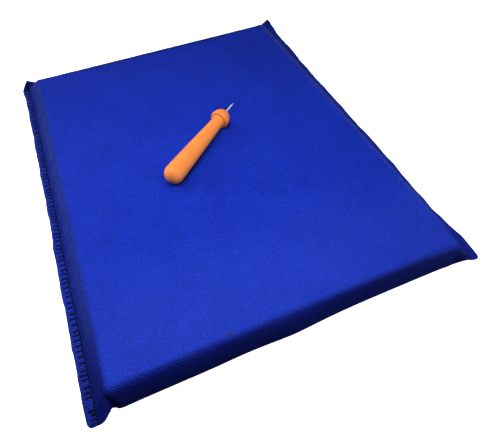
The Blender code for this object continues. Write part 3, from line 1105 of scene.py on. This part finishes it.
def cloth_sheen(s, x, y):
    """Strongest just past the side edges, gone in the pocket beside each seam and at the front."""
    flat, seam = FLAT_A / MM, SEAM_A / MM
    sideways = s.math("ABSOLUTE", x)
    upper = s.ramp(sideways, flat - 3.0, flat + 3.0)
    lower = s.ramp(sideways, flat + 2.5, seam - 2.0, SHEEN_EDGES, SHEEN_FLANGE)
    inside = s.ramp(sideways, seam - 9.5, seam - 2.0, 1.0, 0.0)
    outside = s.ramp(sideways, seam - 1.0, seam + 1.0)
    fuzz = s.plus(s.times(upper, lower), SHEEN_FLAT)
    fuzz = s.times(fuzz, s.math("MAXIMUM", inside, outside))
    return s.times(fuzz, s.ramp(y, -144.0, -90.0))


def make_cloth():
    """Royal-blue spunbond: bonded dimples in staggered rows, felted fibres, uneven felting.

    The bonds are thin spots. They look dark where there is only air behind the cloth, and their
    darkening also paints shade into the dimples.
    """
    s = Shader("blue_nonwoven")
    cloth = s.attribute("cloth_mm", "Vector")
    split = s.node("ShaderNodeSeparateXYZ")
    s.link(cloth, split.inputs[0])
    x, y = split.outputs[0], split.outputs[1]
    backed = s.attribute("backed", "Fac")
    dimple = cloth_bonds(s, cloth, x, y, s.math("SUBTRACT", 1.0, backed))
    fibres = s.noise(s.scaled(cloth, (1.0, 0.28, 1.0)), 5.0, 4.0, 0.7, 0.6)
    felt = s.noise(cloth, 0.75, 4.0, 0.7)

    base = cloth_colour(s, cloth, x, y, fibres, felt)
    # painted shade: cloth over air turns much darker towards the folded front, which faces away
    # from the lights
    free_tint_and_front_shade = s.mix(s.ramp(y, -146.0, -70.0), FRONT_PAINTED_SHADE, FREE_TINT)
    base = s.mix(backed, s.mix(1.0, base, free_tint_and_front_shade, "MULTIPLY"), base)
    bond = s.ramp(backed, 0.0, 1.0, BOND_FREE, BOND_BACKED, False)
    # painted shade in the dimples, on top of the bonds' own darkness over air
    base = s.mix(s.times(dimple, bond), base, BOND_AND_DIMPLE_SHADE_COLOUR)
    s.set("Base Color", scuffed(s, cloth, felt, base))
    rough = s.ramp(fibres, 0.2, 0.8, 0.55, 0.70)
    s.set("Roughness", s.math("SUBTRACT", rough, s.times(dimple, 0.10)))
    s.set("Specular IOR Level", 0.05)
    s.set("Sheen Weight", cloth_sheen(s, x, y))
    s.set("Sheen Roughness", 0.35)
    s.set("Sheen Tint", (0.62, 0.80, 1.0, 1.0))
    depth = s.ramp(backed, 0.0, 1.0, -1.0, -EMBOSS_BACKED, False)
    emboss = s.bump(s.times(dimple, depth), EMBOSS_DEPTH, 1.0)
    s.set("Normal", s.bump(s.plus(fibres, felt), FELT_DEPTH, 0.9, emboss))
    return s.material


# Dark colour, pale colour and colour of the loose fibres
NAVY_SHADES = ((0.0008, 0.0012, 0.006, 1), (0.002, 0.004, 0.018, 1), (0.004, 0.007, 0.035, 1))
BLUE_SHADES = ((0.006, 0.026, 0.380, 1), (0.010, 0.036, 0.500, 1), (0.03, 0.07, 0.60, 1))


def make_thread(name, dark, pale, fibre):
    """Spun thread: uneven dye and loose fibres along its twist."""
    s = Shader(name)
    place = s.place()
    fuzz = s.noise(place, 9000.0, 3.0, 0.7, 0.4)
    dye = s.noise(place, 700.0, 2.0, 0.5)
    base = s.mix(s.ramp(dye, 0.3, 0.7), dark, pale)
    s.set("Base Color", s.mix(s.ramp(fuzz, 0.5, 0.85, 0.0, 0.4), base, fibre))
    s.set("Roughness", s.ramp(fuzz, 0.2, 0.8, 0.70, 0.90))
    s.set("Specular IOR Level", 0.12)
    s.set("Normal", s.bump(fuzz, 0.05 * MM, 0.7))
    return s.material


def make_plastic():
    """Satin orange moulding with a fine textured skin and scattered paler, rougher scuffs."""
    s = Shader("orange_plastic")
    spot = s.place()
    skin = s.noise(spot, 2600.0, 3.0, 0.6)
    flow = s.noise(spot, 120.0, 3.0, 0.5)
    scuff = s.noise(s.scaled(spot, (1.0, 1.0, 4.0)), 900.0, 4.0, 0.75, 0.8)
    base = s.mix(s.ramp(flow, 0.3, 0.7), (0.90, 0.248, 0.036, 1), (0.93, 0.280, 0.046, 1))
    base = s.mix(s.ramp(scuff, 0.62, 0.85, 0.0, 0.15), base, (0.97, 0.42, 0.14, 1))
    s.set("Base Color", base)
    s.set("Roughness", s.ramp(scuff, 0.25, 0.75, 0.46, 0.60))
    s.set("Subsurface Weight", 0.03)
    s.set("Subsurface Radius", (0.9, 0.35, 0.12))
    s.set("Subsurface Scale", 1.5 * MM)
    s.set("Normal", s.bump(s.plus(skin, s.times(flow, 2.0)), 0.045 * MM, 0.5))
    return s.material


def make_steel():
    """Satin steel with a fine grain, dulled enough to look pale and not mirror-like."""
    s = Shader("needle_steel")
    grain = s.noise(s.place(), 6000.0, 2.0, 0.6)
    base = s.mix(s.ramp(grain, 0.3, 0.7), (0.80, 0.80, 0.74, 1), (0.90, 0.90, 0.84, 1))
    s.set("Base Color", base)
    s.set("Metallic", 0.4)
    s.set("Roughness", s.ramp(grain, 0.2, 0.8, 0.30, 0.45))
    s.set("Normal", s.bump(grain, 0.01 * MM, 0.4))
    return s.material


def make_foam():
    """Closed-cell foam: small round cells with darker walls."""
    s = Shader("white_foam")
    spot = s.place()
    cells = s.node("ShaderNodeTexVoronoi", feature="DISTANCE_TO_EDGE")
    s.link(spot, cells.inputs["Vector"])
    cells.inputs["Scale"].default_value = 1400.0
    wall = s.ramp(cells.outputs["Distance"], 0.02, 0.22)
    tone = s.noise(spot, 60.0, 3.0, 0.5)
    base = s.mix(s.ramp(tone, 0.3, 0.7), (0.76, 0.75, 0.71, 1), (0.84, 0.83, 0.80, 1))
    s.set("Base Color", s.mix(wall, (0.60, 0.58, 0.54, 1), base))
    s.set("Roughness", 0.92)
    s.set("Normal", s.bump(wall, 0.12 * MM, 0.6))
    return s.material


# ---- stage, light and camera

FLOOR_SIZE = 6.0
FLOOR_GLOW = 1.2  # brightness of the floor in the picture
FLOOR_BOUNCE = 0.08  # and how pale it is for light that falls on the mat from it
AMBIENT = 0.05
LIGHTS = (  # name, place, diameter and watts
    ("back_key", (-0.25, 1.10, 1.70), 1.0, 9.0),
    ("overhead", (-0.03, -0.09, 0.38), 0.28, 1.27),
    ("left_glow", (-0.45, 0.30, 0.25), 0.25, 1.8),
    ("right_fill", (0.40, -0.36, 0.09), 0.20, 1.1),
)
CAMERA_PLACE = Vector((-0.0643, -0.2372, 0.2418))
CAMERA_TURN = (38.26, 1.60, -23.33)  # degrees about X, Y and Z
CAMERA_LENS = 32.15  # millimetres, on a 36 mm wide sensor


def make_floor():
    half = FLOOR_SIZE / 2
    corners = [(-half, -half, 0.0), (half, -half, 0.0), (half, half, 0.0), (-half, half, 0.0)]
    mesh = new_mesh("floor", corners, [(0, 1, 2, 3)])
    s = Shader("white_floor")
    grain = s.noise(s.place(), 40.0, 2.0)
    s.set("Base Color", s.mix(grain, (0.80, 0.80, 0.79, 1), (0.83, 0.83, 0.82, 1)))
    s.set("Roughness", 0.9)
    s.set("Specular IOR Level", 0.1)
    seen = s.node("ShaderNodeLightPath").outputs["Is Camera Ray"]
    s.set("Emission Color", (1.0, 1.0, 1.0, 1.0))
    s.set("Emission Strength", s.times(seen, FLOOR_GLOW))
    dark = s.node("ShaderNodeBsdfDiffuse")
    dark.inputs["Color"].default_value = (FLOOR_BOUNCE, FLOOR_BOUNCE, FLOOR_BOUNCE, 1)
    choose = s.node("ShaderNodeMixShader")
    s.link(seen, choose.inputs[0])
    s.link(dark.outputs[0], choose.inputs[1])
    s.link(s.principled.outputs[0], choose.inputs[2])
    s.link(choose.outputs[0], s.tree.nodes["Material Output"].inputs["Surface"])
    floor = add_object("floor", mesh, s.material)
    floor.location.z = -0.2 * MM


def add_light(name, place, size, power):
    """A round area light at a place, facing the mat's middle."""
    data = bpy.data.lights.new(name, "AREA")
    data.shape = "DISK"
    data.size = size
    data.energy = power
    light = add_object(name, data)
    light.location = place
    light.rotation_euler = Vector(place).to_track_quat("Z", "Y").to_euler()


def light_studio():
    """A white surround that hardly lights the mat, and four soft lights."""
    world = bpy.data.worlds.new("studio")
    bpy.context.scene.world = world
    world.use_nodes = True
    tree = world.node_tree
    background = tree.nodes["Background"]
    path = tree.nodes.new("ShaderNodeLightPath")
    strength = tree.nodes.new("ShaderNodeMapRange")
    strength.inputs["To Min"].default_value = AMBIENT
    strength.inputs["To Max"].default_value = 1.0
    tree.links.new(path.outputs["Is Camera Ray"], strength.inputs["Value"])
    tree.links.new(strength.outputs["Result"], background.inputs["Strength"])
    background.inputs["Color"].default_value = (1, 1, 1, 1)
    for light in LIGHTS:
        add_light(*light)
    bpy.context.scene.view_settings.view_transform = "Standard"


def place_camera():
    data = bpy.data.cameras.new("camera")
    data.lens = CAMERA_LENS
    data.clip_start = 0.01
    camera = add_object("camera", data)
    camera.location = CAMERA_PLACE
    camera.rotation_euler = Euler([math.radians(angle) for angle in CAMERA_TURN], "XYZ")
    bpy.context.scene.camera = camera


# ---- the scene

simulate_swelling()
build_cover(make_cloth())
build_foam(make_foam())
build_threads(make_thread("navy_thread", *NAVY_SHADES), make_thread("blue_thread", *BLUE_SHADES))
build_awl(make_plastic(), make_steel())
make_floor()
light_studio()
place_camera()
